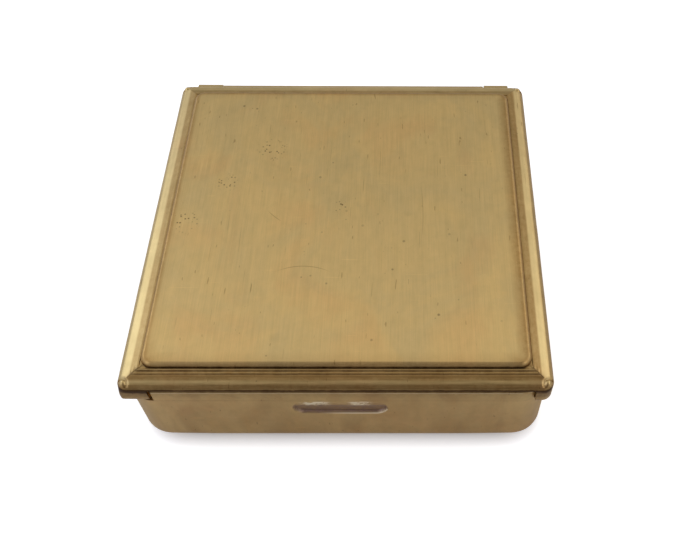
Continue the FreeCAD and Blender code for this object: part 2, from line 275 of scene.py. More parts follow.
def plan_stations(half_x, half_y, radius, spacing, corner_steps, front_extra=(), end_spacing=None):
    """Stations anticlockwise round a rounded rectangle, from the front left corner."""
    corner_signs = [(1, -1), (1, 1), (-1, 1), (-1, -1)]
    stations = []
    for side, signs in enumerate(corner_signs):
        reach = (half_x if side % 2 == 0 else half_y) - radius
        values = spaced(-reach, reach, spacing)
        if end_spacing:
            ends = spaced(reach - END_LENGTH, reach, end_spacing)
            values = sorted(set(values) | set(ends) | {-value for value in ends})
        if side == 0:
            values = sorted(set(values) | {value for value in front_extra if abs(value) < reach})
        for value in values:
            stations.append(("side", side, value))
        start = side * 90 - 90
        turns = {start + 90 * step / corner_steps for step in range(1, corner_steps)}
        if side in (0, 3):
            for value in front_extra:
                turn = math.degrees(math.acos(max(-1, min(1, (abs(value) - reach) / radius))))
                if abs(value) > reach and value * signs[0] > 0:
                    turns.add(-turn if side == 0 else 180 + turn)
        for turn in sorted(turns):
            stations.append(("corner", signs, turn))
    return stations


def plan_point(station, half_x, half_y, radius, inset):
    """Where a station lies on the outline set in by inset. Past the corner radius the corner is mitred."""
    kind, where, value = station
    if kind == "corner":
        sign_x, sign_y = where
        if inset >= radius:
            return sign_x * (half_x - inset), sign_y * (half_y - inset)
        turn = math.radians(value)
        return (
            sign_x * (half_x - radius) + (radius - inset) * math.cos(turn),
            sign_y * (half_y - radius) + (radius - inset) * math.sin(turn),
        )
    reach = (half_x if where % 2 == 0 else half_y) - inset
    along = max(-reach, min(reach, value))
    if where == 0:
        return along, -(half_y - inset)
    if where == 1:
        return half_x - inset, along
    if where == 2:
        return -along, half_y - inset
    return -(half_x - inset), -along


def skin(name, rows, wear):
    """A closed mesh over loops of points, both ends filled; wear(x, y, z) gives its layers' values."""
    mesh = bpy.data.meshes.new(name)
    built = bmesh.new()
    layers = {layer: built.verts.layers.float.new(layer) for layer in wear(0, 0, 0)}
    loops = []
    for row in rows:
        loop = []
        for point in row:
            vertex = built.verts.new(Vector(point) * MM)
            for layer, value in wear(*point).items():
                vertex[layers[layer]] = value
            loop.append(vertex)
        loops.append(loop)
    for lower, upper in zip(loops, loops[1:]):
        for index in range(len(lower)):
            after = (index + 1) % len(lower)
            built.faces.new((lower[index], lower[after], upper[after], upper[index]))
    built.faces.new(list(reversed(loops[0])))
    built.faces.new(loops[-1])
    bmesh.ops.remove_doubles(built, verts=built.verts, dist=WELD * MM)
    bmesh.ops.dissolve_degenerate(built, edges=built.edges, dist=SHORTEST_EDGE * MM)
    bmesh.ops.recalc_face_normals(built, faces=built.faces)
    for face in built.faces:
        face.smooth = True
    for edge in built.edges:
        edge.smooth = len(edge.link_faces) == 2 and edge.calc_face_angle(0) < math.radians(SHARP_ANGLE)
    built.to_mesh(mesh)
    built.free()
    piece = bpy.data.objects.new(name, mesh)
    bpy.context.scene.collection.objects.link(piece)
    return piece


def smooth(low, high, value):
    """0 at low, 1 at high and a soft step between; low may be the greater."""
    share = max(0.0, min(1.0, (value - low) / (high - low)))
    return share * share * (3 - 2 * share)


def ripple(x, y, z, size, amount, seed):
    """Smooth unevenness between 0 and amount, with hollows about size apart."""
    point = Vector((x / size, y / size, z / size + seed))
    return amount * (0.5 + 0.5 * noise.noise(point))


def curve_through(points, steps):
    """A smooth curve through (inset, z) points, with steps pieces between each pair."""
    ends = [points[0]] + list(points) + [points[-1]]
    result = [points[0]]
    for index in range(1, len(ends) - 2):
        before, start, end, after = (Vector(ends[index + shift]) for shift in (-1, 0, 1, 2))
        for step in range(1, steps + 1):
            t = step / steps
            bend = (end - before) * t + (before * 2 - start * 5 + end * 4 - after) * t**2
            bend += (start * 3 - before - end * 3 + after) * t**3
            result.append(tuple(start + bend / 2))
    return result


def border_outside():
    """The lid's border from under the panel out over the three beads to the skirt, as (inset, z)."""
    crease = PANEL_SEAT - CREASE_DEPTH
    under = [(PANEL_INSET + PANEL_OVERLAP, crease), (PANEL_INSET + CREASE_GAP, crease)]
    return under + curve_through(BORDER_POINTS, CURVE_STEPS)


def near(value, centre, width):
    """1 at the centre, falling smoothly to 0 at width either side."""
    return 1 - smooth(0, width, abs(value - centre))


def band(value, middle, width, strength):
    """The strength at the middle, falling smoothly to 0 at width either side."""
    return strength * near(value, middle, width)


def facing_front(x, y, fade):
    """1 on the side that faces the front and 0 on the others, with the fade across the mitres."""
    return smooth(*fade, -y - abs(x))


def facing_right(x, y, fade):
    """1 on the right side and 0 on the others, with the fade across the mitres."""
    return smooth(*fade, x - abs(y))


def ball_distance(x, y):
    """How far a place lies from the middle of the small ball at its corner."""
    return math.hypot(abs(x) - BALL_PLACE, abs(y) - BALL_PLACE)


def outline_distance(x, y, half, radius):
    """How far a point lies outside a rounded square, negative inside it."""
    across = abs(x) - half + radius
    along = abs(y) - half + radius
    return math.hypot(max(across, 0), max(along, 0)) + min(max(across, along), 0) - radius


def border_dirt_and_shade(x, y, inset, front):
    """Dirt and painted shade in the border's grooves, round the panel's foot and in the mitres."""
    foot = outline_distance(x, y, PANEL_HIGH.x, PANEL_CORNER)
    dirt_and_shade = front * max(band(inset, *FINE_GROOVE), band(inset, *COVE_GROOVE))
    dirt_and_shade = max(dirt_and_shade, (FOOT_SIDES + (1 - FOOT_SIDES) * front) * (1 - smooth(*FOOT_FADE, foot)))
    if inset > MITRE_START:
        strength = MITRE_FRONT if y < 0 else MITRE_REAR
        dirt_and_shade = max(dirt_and_shade, band(abs(x) - abs(y), 0, MITRE_WIDTH, strength))
    return dirt_and_shade


def skirt_painted_shade(x, y, z):
    """Painted shade round the rim's lower edge and on the skirt, along the front only."""
    facing = facing_front(x, y, FACING_FADE)
    dirt_and_shade = 0
    for start, end, strength in RIM_SHADES:
        dirt_and_shade += strength * smooth(RIM_EDGE + start, RIM_EDGE + end, z)
    dirt_and_shade *= facing * smooth(RIM_EDGE + RIM_FOOT[0], RIM_EDGE + RIM_FOOT[1], z)
    if z < RIM_EDGE:
        start, end, strength = SKIRT_SHADE
        dirt_and_shade = max(dirt_and_shade, strength * facing * smooth(SKIRT_BOTTOM + start, SKIRT_BOTTOM + end, z))
    return dirt_and_shade


def lid_tarnish_and_shade(x, y, z, inset, front):
    """Brown tarnish and painted shade along the front, less of it on the beads' crests, which are painted
    highlights, and tarnish on the border's inner part.
    """
    right = facing_right(x, y, RIGHT_FADE)
    inner = (INNER_TARNISH + (1 - INNER_TARNISH) * right) * smooth(*INNER_FADE, inset)
    inner = max(inner, OUTER_TARNISH * right * smooth(*OUTER_FADE, inset))
    face = front * (1 - band(inset, *FACE_PAINTED_HIGHLIGHT) - band(inset, *BEAD_PAINTED_HIGHLIGHT) + band(inset, *COVE_TARNISH_AND_SHADE))
    if z < BEAD_TOP:
        face = facing_front(x, y, SKIRT_FADE)
    return max(face, inner)


def lid_wear(x, y, z):
    """Dirt, tarnish, painted shade and painted highlights on the lid; its inside has an even, light tarnish.
    """
    inset = HALF - max(abs(x), abs(y))
    if inset > LID_SHEET - TOUCH and z <= LID_CEILING:
        return {"grime_and_shade": 0.0, "tarnish_and_shade": INSIDE_TARNISH}
    front = facing_front(x, y, FRONT_FADE)
    dirt_and_shade = 0.0
    if z > LID_CEILING:
        dirt_and_shade = border_dirt_and_shade(x, y, inset, front)
    elif z < LID_CEILING:
        dirt_and_shade = skirt_painted_shade(x, y, z)
    # A painted dark ring round each front corner ball, shade that sets off its highlight.
    if y < 0 and z > BEAD_TOP:
        dirt_and_shade = max(dirt_and_shade, band(ball_distance(x, y), *BALL_FOOT, BALL_PAINTED_SHADE))
    dirt_and_shade = max(dirt_and_shade, front * band(inset, *COVE_DIRT_AND_SHADE))
    return {"grime_and_shade": dirt_and_shade, "tarnish_and_shade": lid_tarnish_and_shade(x, y, z, inset, front)}


def skirt_bottom(station, x, y):
    """How low the lid's edge hangs at a station: full depth at the sides and front corners only."""
    kind, _, value = station
    rear = y > REAR_CUT_Y
    front = y < 0 and FRONT_CUT[0] < x < FRONT_CUT[1] and kind == "side"
    if not (rear or front):
        return SKIRT_BOTTOM - SKIRT_TILT * x / HALF
    rise = 0
    if front:
        offset = (value - BOW_CENTRE) / (BOW_WIDTH / 2)
        rise = BOW_RISE * max(0, 1 - offset * offset)
    return RIM_EDGE + rise


def worn_down(x, y, inset, z):
    """The border's height with its inner grooves rubbed flat, except along the front."""
    (start, low), (end, high) = SIDE_SLOPE
    if inset <= start or inset > PANEL_INSET:
        return z
    flat = low + (high - low) * min(1.0, (inset - start) / (end - start))
    return flat + (z - flat) * facing_front(x, y, SLOPE_FADE)


def lid_rows(stations):
    """The lid's section at each station, as rows of (inset, z): border, skirt, lower edge and inside."""
    outside = border_outside()
    wall_top = outside[-1][1]
    rows = [[point for _ in stations] for point in outside]
    for row in range(1, WALL_ROWS + 1):
        line = []
        for station in stations:
            x, y = plan_point(station, HALF, HALF, LID_CORNER, 0)
            low = min(skirt_bottom(station, x, y) + EDGE_ROUNDING, wall_top - WALL_LEAST)
            line.append((0, wall_top + (low - wall_top) * row / WALL_ROWS))
        rows.append(line)
    wall_foot = rows[-1]
    for across, down in EDGE_CURVE:
        rows.append([(EDGE_ROUNDING * across, z - EDGE_ROUNDING * down) for _, z in wall_foot])
    lowest = rows[-1]
    rows.append([(LID_SHEET, z) for _, z in lowest])
    rows.append([(LID_SHEET, max(z, LID_CEILING - CEILING_FILLET)) for _, z in lowest])
    rows.append([(LID_SHEET + FILLET_MIDDLE, LID_CEILING - FILLET_MIDDLE) for _ in lowest])
    rows.append([(LID_SHEET + CEILING_FILLET, LID_CEILING) for _ in lowest])
    rows.append([(PANEL_INSET + PANEL_OVERLAP, LID_CEILING) for _ in lowest])
    return rows


def lid_point(station, inset, z, curled):
    """Where a point of the lid's section lies, with its dents, worn beads and corner balls."""
    corner = station[0] == "corner"
    radius = LID_CORNER
    if inset < LID_SHEET and z < BEAD_TOP and corner and station[1][0] < 0:
        radius += (SKIRT_CORNER - LID_CORNER) * smooth(BEAD_TOP, SKIRT_BOTTOM + SKIRT_CORNER_END, z)
    if corner and curled:
        inset *= CORNER_CURL
        z += (inset - inset / CORNER_CURL) * CURL_LIFT
    x, y = plan_point(station, HALF, HALF, radius, inset)
    dent = ripple(x, y, z, *LID_DENTS)
    if inset < LID_SHEET - TOUCH:
        x, y = plan_point(station, HALF, HALF, radius, inset + dent)
    if inset < PANEL_INSET and z > LID_CEILING:
        z = worn_down(x, y, inset, z) - dent
        if z > BEAD_TOP:
            away = ball_distance(x, y)
            z += BALL_RISE * (near(away, 0, BALL_RADIUS) - near(away, *BALL_FOOT))
    return x, y, z


def make_lid_frame():
    """Stamped lid: moulded border, skirts, and the flat sheet below the panel."""
    cuts = []
    for edge in FRONT_CUT:
        cuts += [edge - TOUCH, edge + TOUCH]
    bow = [BOW_CENTRE + BOW_WIDTH / 2 * step / BOW_STEPS for step in range(-BOW_STEPS, BOW_STEPS + 1)]
    stations = plan_stations(
        HALF, HALF, LID_CORNER, LID_SPACING, LID_CORNER_STEPS, cuts + bow, LID_END_SPACING
    )
    edge_row = len(border_outside()) + WALL_ROWS
    loops = []
    for index, line in enumerate(lid_rows(stations)):
        curled = edge_row <= index < edge_row + len(EDGE_CURVE)
        loops.append([lid_point(station, *place, curled) for station, place in zip(stations, line)])
    return skin("lid_frame_looks", loops, lid_wear)


def panel_wear(x, y, z):
    """Dirt and painted shade round the panel's foot, and a duller rim."""
    edge = -outline_distance(x, y, PANEL_HIGH.x, PANEL_CORNER)
    front = facing_front(x, y, PANEL_FADE)
    right = facing_right(x, y, PANEL_FADE)
    corner = band(abs(x) + y, *CORNER_TARNISH)
    shoulder = 1 - smooth(*SHOULDER_FADE, edge)
    rim = (RIM_TARNISH + (1 - RIM_TARNISH) * max(right, corner)) * (1 - smooth(*RIM_FADE, edge))
    rim += SHOULDER_TARNISH * shoulder * (1 - front)
    rim += FRONT_RIM_TARNISH * front * (1 - smooth(*FRONT_RIM_FADE, edge))
    # Painted shade, with some dirt, at the panel's foot.
    foot = 1 - smooth(PANEL_SEAT + FOOT_HEIGHTS[0], PANEL_SEAT + FOOT_HEIGHTS[1], z)
    return {"grime_and_shade": foot * (FOOT_LEAST + (1 - FOOT_LEAST) * front), "tarnish_and_shade": min(rim, 1.0)}


def panel_point(station, inset):
    """Where a station lies on the panel's outline set in by inset, with corners that get rounder inwards."""
    half = PANEL_HIGH.x
    if inset <= PANEL_CORNER:
        return plan_point(station, half, half, PANEL_CORNER, inset)
    kind, where, value = station
    place = half - inset
    bulge = min(max(PANEL_CORNER, inset * PANEL_ROUNDNESS), place) * PANEL_BULGE
    if kind == "corner":
        sign_x, sign_y = where
        turn = math.radians(value)
        return (
            sign_x * (place - bulge) + bulge * math.cos(turn),
            sign_y * (place - bulge) + bulge * math.sin(turn),
        )
    along = value * ((place - bulge) / (half - PANEL_CORNER))
    return ((along, -place), (place, along), (-along, place), (-place, -along))[where]


def make_lid_panel():
    """Raised plate with a rounded shoulder, and the faint hollows of a much handled box."""
    half = PANEL_HIGH.x
    top = PANEL_HIGH.z
    stations = plan_stations(half, half, PANEL_CORNER, PANEL_SPACING, PANEL_CORNER_STEPS)
    profile = [(PANEL_TUCK, PANEL_SEAT), (0, PANEL_SEAT)]
    profile += arc((PANEL_SHOULDER, top - PANEL_SHOULDER), PANEL_SHOULDER, 180, 90, SHOULDER_STEPS)
    start, end = TOP_MARGIN
    for inset in spaced(PANEL_SHOULDER + start, half - end, TOP_SPACING):
        profile.append((inset, top))
    loops = []
    for inset, z in profile:
        loop = []
        for station in stations:
            x, y = panel_point(station, inset)
            hollow = ripple(x, y, 0, *PANEL_HOLLOWS) if inset >= PANEL_SHOULDER else 0
            loop.append((x, y, z - hollow))
        loops.append(loop)
    return skin("lid_panel_looks", loops, panel_wear)


def recess_distance(x, z):
    """How far a place on the front wall lies outside the thumb recess, negative inside it."""
    radius = RECESS_HEIGHT / 2
    across = max(0.0, abs(x - RECESS_CENTRE[0]) - RECESS_LENGTH / 2 + radius)
    return math.hypot(across, z - RECESS_CENTRE[1]) - radius


def recess_push(x, z):
    """How far the thumb recess pushes the front wall in: deeper towards its lower edge, which is sharp."""
    drop = RECESS_CENTRE[1] + RECESS_HEIGHT / 2 - z
    return RECESS_DEPTH * smooth(*RECESS_SLOPE, drop) * (1 - smooth(*RECESS_RIM, recess_distance(x, z)))


def bottom_pull(x, y, z):
    """How much further in the tray's lower edge lies near its corners."""
    if z >= TRAY_FOOT_RADIUS:
        return 0.0
    across = max(0.0, 1 - (TRAY_HALF_X - abs(x)) / CORNER_REACH)
    along = max(0.0, 1 - (TRAY_HALF_Y - abs(y)) / CORNER_REACH)
    return CORNER_PULL * across**2 * along**2 * (1 - z / TRAY_FOOT_RADIUS) ** 2


def tray_wear(x, y, z):
    """Painted shade on the front neck with a painted highlight under its top edge; in the recess the plating
    rubbed off and partly painted shade, a whitened lower edge that is worn and a painted highlight, and a
    painted dark line inside it.
    """
    worn = flakes = lip = dirt_and_shade = 0.0
    if y < TRAY_LOW.y + TRAY_SHEET and z < TRAY_LEDGE:
        distance = recess_distance(x, z)
        drop = RECESS_CENTRE[1] + RECESS_HEIGHT / 2 - z
        # Worn plating in the recess's lower part, partly painted shade.
        worn = smooth(*WORN_FADE, distance) * smooth(*WORN_DEPTHS, drop)
        grouped = max(near(x, centre, reach) for centre, reach in FLAKE_GROUPS)
        flakes = min(1.0, FLAKE_GAIN * grouped) * smooth(*FLAKE_START, drop) * smooth(*FLAKE_END, drop)
        # A whitened lower edge, worn edge and painted highlight, and a painted dark line just inside it.
        if drop > RECESS_HEIGHT / 2:
            lip = band(distance, *WORN_EDGE_HIGHLIGHT_BAND) * smooth(*WORN_EDGE_HIGHLIGHT_ALONG, x)
            dirt_and_shade = band(distance, *RECESS_PAINTED_SHADE)
    # On the front neck under the lid: painted shade, darker towards the top, and a painted highlight just
    # below the top edge.
    if z > TRAY_LEDGE and y < 0:
        start, end = HEM_PAINTED_SHADE_FADE
        dirt_and_shade = HEM_PAINTED_SHADE + HEM_PAINTED_SHADE_ABOVE * smooth(TRAY_TOP - start, TRAY_TOP - end, z)
        below, width, strength = HEM_PAINTED_HIGHLIGHT
        lip = band(z, TRAY_TOP - below, width, strength) * (y < TRAY_LOW.y + TOUCH)
    return {"grime_and_shade": dirt_and_shade, "tarnish_and_shade": 0.0, "worn": worn, "flakes": flakes, "lip": lip}


def neck_inset(station, part):
    """How far in a part of the tray's neck lies at a station; the front hem and the rear have no ledge."""
    kind, where, _ = station
    x, y = plan_point(station, TRAY_HALF_X, TRAY_HALF_Y, TRAY_CORNER, 0)
    front = kind == "side" and where == 0
    hem = y < 0 and HEM_SPAN[0] < x < HEM_SPAN[1]
    rear = kind == "side" and where == 2
    ledge = NECK_FRONT_INSET if front else NECK_INSET
    outer = 0.0 if hem or rear else ledge
    if part == "inner":
        return TRAY_SHEET if rear else ledge + TRAY_SHEET
    return {"ledge": 0.0, "neck": outer, "lip": outer + LIP_BEVEL}[part]


def tray_outside():
    """The tray's foot and wall from below up to the ledge, as (inset, z), finest round the recess."""
    foot = TRAY_FOOT_RADIUS
    low_z = RECESS_CENTRE[1] - RECESS_HEIGHT / 2 - RECESS_MARGIN
    fine_top = low_z + 2 * RECESS_MARGIN
    outside = [(foot + FOOT_LAP, 0.0)] + arc((foot, foot), foot, 270, 180, FOOT_STEPS)
    outside += [(0, z) for z in spaced(foot, low_z, WALL_SPACING)[1:]]
    outside += [(0, z) for z in spaced(low_z, fine_top, RECESS_SPACING)[1:]]
    return outside + [(0, z) for z in spaced(fine_top, TRAY_LEDGE - LEDGE_MARGIN, UPPER_SPACING)[1:]]


def tray_inside():
    """The tray's inside from the neck down to the floor, as (inset, z)."""
    foot = TRAY_FOOT_RADIUS
    walls = reversed(spaced(foot, TRAY_LEDGE - TRAY_SHEET, INSIDE_SPACING))
    inside = [(TRAY_SHEET, z) for z in walls]
    inside += arc((foot, foot), foot - TRAY_SHEET, 180, 270, INNER_FOOT_STEPS)[1:]
    return inside + [(foot + FOOT_LAP, TRAY_SHEET)]


def tray_rows(stations):
    """The tray's section at each station, as rows of (inset, z, whether the recess presses it in)."""
    rise = TRAY_TOP - TRAY_LEDGE
    neck = [("ledge", LEDGE_CHAMFER), ("ledge", 0.0), ("neck", 0.0)]
    neck += [("neck", rise - down) for down in NECK_ROWS_DOWN]
    neck += [("lip", rise), ("inner", rise), ("inner", -TRAY_SHEET)]
    rows = []
    for inset, z in tray_outside():
        rows.append([(inset, z, inset < TRAY_FOOT_RADIUS) for _ in stations])
    for part, height in neck:
        rows.append([(neck_inset(station, part), TRAY_LEDGE + height, False) for station in stations])
    for inset, z in tray_inside():
        rows.append([(inset, z, True) for _ in stations])
    return rows


def tray_point(station, inset, z, pressed):
    """Where a point of the tray's section lies, with the pulled-in foot corners and the recess."""
    kind, where, _ = station
    x, y = plan_point(station, TRAY_HALF_X, TRAY_HALF_Y, TRAY_CORNER, inset)
    pull = bottom_pull(x, y, z)
    x -= math.copysign(pull, x)
    y -= math.copysign(pull, y)
    y += TRAY_MIDDLE_Y
    if pressed and kind == "side" and where == 0:
        y += recess_push(x, z)
    return x, y, z


def make_tray():
    """Stamped tray: rounded foot, walls, ledge and neck, front hem and the thumb recess."""
    edges = []
    for edge in HEM_SPAN:
        edges += [edge - HEM_STEP, edge + HEM_STEP]
    reach = RECESS_LENGTH / 2 + FINE_REACH
    fine = spaced(RECESS_CENTRE[0] - reach, RECESS_CENTRE[0] + reach, FINE_SPACING)
    stations = plan_stations(
        TRAY_HALF_X, TRAY_HALF_Y, TRAY_CORNER, TRAY_SPACING, TRAY_CORNER_STEPS, edges + fine
    )
    loops = []
    for line in tray_rows(stations):
        loops.append([tray_point(station, *place) for station, place in zip(stations, line)])
    return skin("tray_shell_looks", loops, tray_wear)


# ---------------------------------------------------------------- materials

# Brown of dirt and pits, and of the painted shade in creases and hollows.
GRIME_AND_SHADE_BROWN = (0.085, 0.042, 0.016)
SPECK_BROWN = (0.2, 0.13, 0.06)
# Tint of tarnish, and of the painted shade along the lid's front.
TARNISH_AND_SHADE_TINT = (0.62, 0.52, 0.43)
# Specks: cell size, dot size, share of cells with a dot, depth.
SPECKS = [(1.7, 0.2, 0.3, 0.6), (0.9, 0.11, 0.3, 0.5), (3.4, 0.75, 0.16, 0.22)]
# Scratches: fineness along each axis, turn in degrees, rarity, depth, tint.
SCRATCHES = [
    ((3.2, 0.42, 1.0), 4, 0.765, 0.6, (0.55, 0.47, 0.4)),
    ((2.6, 0.7, 1.0), -38, 0.775, 0.55, (0.55, 0.47, 0.4)),
    ((5.0, 0.16, 1.0), -12, 0.755, 0.35, (0.6, 0.55, 0.5)),
    ((0.2, 4.6, 1.0), 24, 0.765, 0.25, (1.3, 1.28, 1.25)),
]
# Curved scratches on the panel's top: centre, radius, middle, reach either side of it, depth.
ARCS = [
    ((-4.2, -14.0), 6.3, (-4.2, -7.7), 3.5, 0.7),
    ((-31.0, 0.0), 40.0, (9.0, 0.0), 4.6, 0.4),
    ((-39.6, -10.6), 30.0, (-9.6, -10.6), 0.8, 1.0),
    ((40.0, 3.0), 38.0, (2.0, 4.0), 1.5, 0.5),
    ((-2.0, 6.0), 9.0, (-8.0, -0.7), 1.3, 0.6),
]
ARC_WIDTH = 0.07
STAIN_TINT = (1.0, 0.94, 0.93)
ARC_TINT = (0.5, 0.44, 0.36)
CLOUD_GREEN = 0.9
LINE_BLUE = 0.97
PIT_SPACING = 0.36
PIT_SIZE = 0.13
PIT_SHARE = 0.7
PIT_DEPTH = 0.75
# Clusters of pits on the panel's top: middle, reach.
CLUSTERS = [((-9.2, 9.8), 2.2), ((-18.0, -1.5), 2.0), ((-0.6, 0.8), 1.1), ((-14.0, 4.5), 1.6)]
# Worn plating in the recess, partly painted shade; whitish chips, and whitened edges that are partly painted
# highlights.
WORN_AND_SHADED_GREY = (0.38, 0.26, 0.2)
CHIP_AND_HIGHLIGHT_WHITE = (0.95, 0.8, 0.52)
DIRT_ROUGHNESS = 0.6
# Noises: fineness along each axis, detail, roughness, distortion.
MOTTLE = ((0.9, 0.7, 0.9), 3.0, 0.6, 0.3)
SMUDGE = ((1.6, 1.6, 1.6), 4.0, 0.7, 0.5)
HANDLED = ((0.16, 0.13, 0.16), 2.0, 0.5)
STAINS = ((0.13, 0.1, 0.13), 3.0, 0.6, 0.4)
CHIPS = ((1.5, 1.5, 2.6), 4.0, 0.65, 0.4)
PATCH_SHAPE = (4.0, 0.6, 0.8)
# Fades of a noise: from low to high, and the greys there.
HANDLED_FADE = (0.5, 0.6, 0.0, 1.0)
STAIN_FADE = (0.5, 0.66, 0.0, 0.8)
TARNISH_AND_SHADE_FADE = (0.38, 0.62, 1.0, 0.75)
DIRT_AND_SHADE_FADE = (0.3, 0.7, 1.0, 0.55)
RUBBED_AND_SHADED_FADE = (0.35, 0.62, 0.9, 0.5)
CHIP_FADE = (0.44, 0.5, 0.0, 1.0)
BARE_AND_HIGHLIGHT_METALLIC = (0.0, 1.0, 1.0, 0.1)
PATCH_RANGE = (0.36, 0.6)
MOTTLE_RANGE = (0.3, 0.6)
GRAIN_RANGE = (0.3, 0.7)
GLOSS_RANGE = (0.25, 0.75)
GLOSS_SPREAD = (0.05, 0.07)
# Wide streaks against the grain: fineness along the border and across it, fineness elsewhere, detail.
WIDE_BORDER = (0.25, 0.5)
WIDE_GRAIN = 0.22
WIDE_DETAIL = 2.0
DOT_CORE = 0.5
SHARE_STEP = 0.01
SCRATCH_DETAIL = 1.0
SCRATCH_STEP = 0.02
CLUSTER_CORE = 0.3
# A mix node's sockets share their names, so they go by number.
COLOURS_IN = (6, 7)
COLOUR_OUT = 2
VALUES_IN = (2, 3)
VALUE_OUT = 0


def new_material(name):
    """An empty node material with its node tree and shader."""
    material = bpy.data.materials.new(name)
    material.use_nodes = True
    tree = material.node_tree
    return material, tree, tree.nodes["Principled BSDF"]


def stretched_noise(tree, scale, detail=4.0, roughness=0.6, distortion=0.0):
    """Noise in millimetres, with its own fineness along each axis."""
    where = tree.nodes.new("ShaderNodeTexCoord")
    mapping = tree.nodes.new("ShaderNodeMapping")
    mapping.inputs["Scale"].default_value = [value / MM for value in scale]
    tree.links.new(where.outputs["Object"], mapping.inputs["Vector"])
    grain = tree.nodes.new("ShaderNodeTexNoise")
    grain.inputs["Scale"].default_value = 1.0
    grain.inputs["Detail"].default_value = detail
    grain.inputs["Roughness"].default_value = roughness
    grain.inputs["Distortion"].default_value = distortion
    tree.links.new(mapping.outputs["Vector"], grain.inputs["Vector"])
    return grain.outputs["Fac"]


def ramp(tree, source, stops):
    """A colour ramp over a 0 to 1 value; stops are (place, colour)."""
    node = tree.nodes.new("ShaderNodeValToRGB")
    elements = node.color_ramp.elements
    while len(elements) < len(stops):
        elements.new(0.5)
    for element, (place, colour) in zip(elements, stops):
        element.position = place
        element.color = (*colour, 1.0)
    tree.links.new(source, node.inputs["Fac"])
    return node.outputs["Color"]


def mixed(tree, blend, amount, first, second):
    """Two colours mixed; amount is a number or a socket."""
    node = tree.nodes.new("ShaderNodeMix")
    node.data_type = "RGBA"
    node.blend_type = blend
    if isinstance(amount, float):
        node.inputs["Factor"].default_value = amount
    else:
        tree.links.new(amount, node.inputs["Factor"])
    for number, value in zip(COLOURS_IN, (first, second)):
        if isinstance(value, tuple):
            node.inputs[number].default_value = (*value, 1.0)
        else:
            tree.links.new(value, node.inputs[number])
    return node.outputs[COLOUR_OUT]


def layer(tree, name):
    """A wear layer painted on the mesh's vertices."""
    node = tree.nodes.new("ShaderNodeAttribute")
    node.attribute_name = name
    return node.outputs["Fac"]


def times(tree, first, second):
    """The product of two values, each a number or a socket."""
    node = tree.nodes.new("ShaderNodeMath")
    node.operation = "MULTIPLY"
    for socket, value in zip(node.inputs, (first, second)):
        if isinstance(value, float):
            socket.default_value = value
        else:
            tree.links.new(value, socket)
    return node.outputs["Value"]


def grey(level):
    """A grey colour of one level."""
    return (level, level, level)


def fade(tree, source, low, high, start, end):
    """A grey that goes from start at low to end at high."""
    return ramp(tree, source, [(low, grey(start)), (high, grey(end))])


def along_edges(tree, fine, long):
    """Grain that runs along the border: left to right in front and behind, front to back at the sides."""
    where = tree.nodes.new("ShaderNodeTexCoord")
    split = tree.nodes.new("ShaderNodeSeparateXYZ")
    tree.links.new(where.outputs["Object"], split.inputs["Vector"])
    sizes = []
    for axis in ("X", "Y"):
        size = tree.nodes.new("ShaderNodeMath")
        size.operation = "ABSOLUTE"
        tree.links.new(split.outputs[axis], size.inputs[0])
        sizes.append(size.outputs["Value"])
    border = tree.nodes.new("ShaderNodeMath")
    border.operation = "GREATER_THAN"
    border.inputs[1].default_value = PANEL_HIGH.x * MM
    tree.links.new(sizes[0], border.inputs[0])
    wider = tree.nodes.new("ShaderNodeMath")
    wider.operation = "GREATER_THAN"
    tree.links.new(sizes[0], wider.inputs[0])
    tree.links.new(sizes[1], wider.inputs[1])
    side = times(tree, border.outputs["Value"], wider.outputs["Value"])
    front = stretched_noise(tree, (long, fine, fine))
    flank = stretched_noise(tree, (fine, long, fine))
    node = tree.nodes.new("ShaderNodeMix")
    tree.links.new(side, node.inputs["Factor"])
    for number, noise_value in zip(VALUES_IN, (front, flank)):
        tree.links.new(noise_value, node.inputs[number])
    return node.outputs[VALUE_OUT]


def speckle(tree, spacing, size, share):
    """1 on scattered dots of about the given size, one cell in share of them, else 0."""
    where = tree.nodes.new("ShaderNodeTexCoord")
    cells = tree.nodes.new("ShaderNodeTexVoronoi")
    cells.inputs["Scale"].default_value = 1 / (spacing * MM)
    tree.links.new(where.outputs["Object"], cells.inputs["Vector"])
    radius = size / spacing
    dots = fade(tree, cells.outputs["Distance"], radius * DOT_CORE, radius, 1.0, 0.0)
    split = tree.nodes.new("ShaderNodeSeparateColor")
    tree.links.new(cells.outputs["Color"], split.inputs["Color"])
    chosen = fade(tree, split.outputs["Red"], share, share + SHARE_STEP, 1.0, 0.0)
    return times(tree, dots, chosen)


def step_between(tree, source, start, end):
    """0 at start, 1 at end and a soft step between; start may be the greater."""
    node = tree.nodes.new("ShaderNodeMapRange")
    node.interpolation_type = "SMOOTHSTEP"
    node.inputs["From Min"].default_value = start
    node.inputs["From Max"].default_value = end
    tree.links.new(source, node.inputs["Value"])
    return node.outputs["Result"]


def distance_from(tree, place):
    """Distance in metres from a place on the panel's top."""
    where = tree.nodes.new("ShaderNodeTexCoord")
    gap = tree.nodes.new("ShaderNodeVectorMath")
    gap.operation = "DISTANCE"
    gap.inputs[1].default_value = Vector((*place, PANEL_HIGH.z)) * MM
    tree.links.new(where.outputs["Object"], gap.inputs[0])
    return gap.outputs["Value"]


def around(tree, middle, reach):
    """1 at a place on the panel, falling to 0 at reach from it."""
    away = distance_from(tree, middle)
    return step_between(tree, away, reach * MM, CLUSTER_CORE * reach * MM)


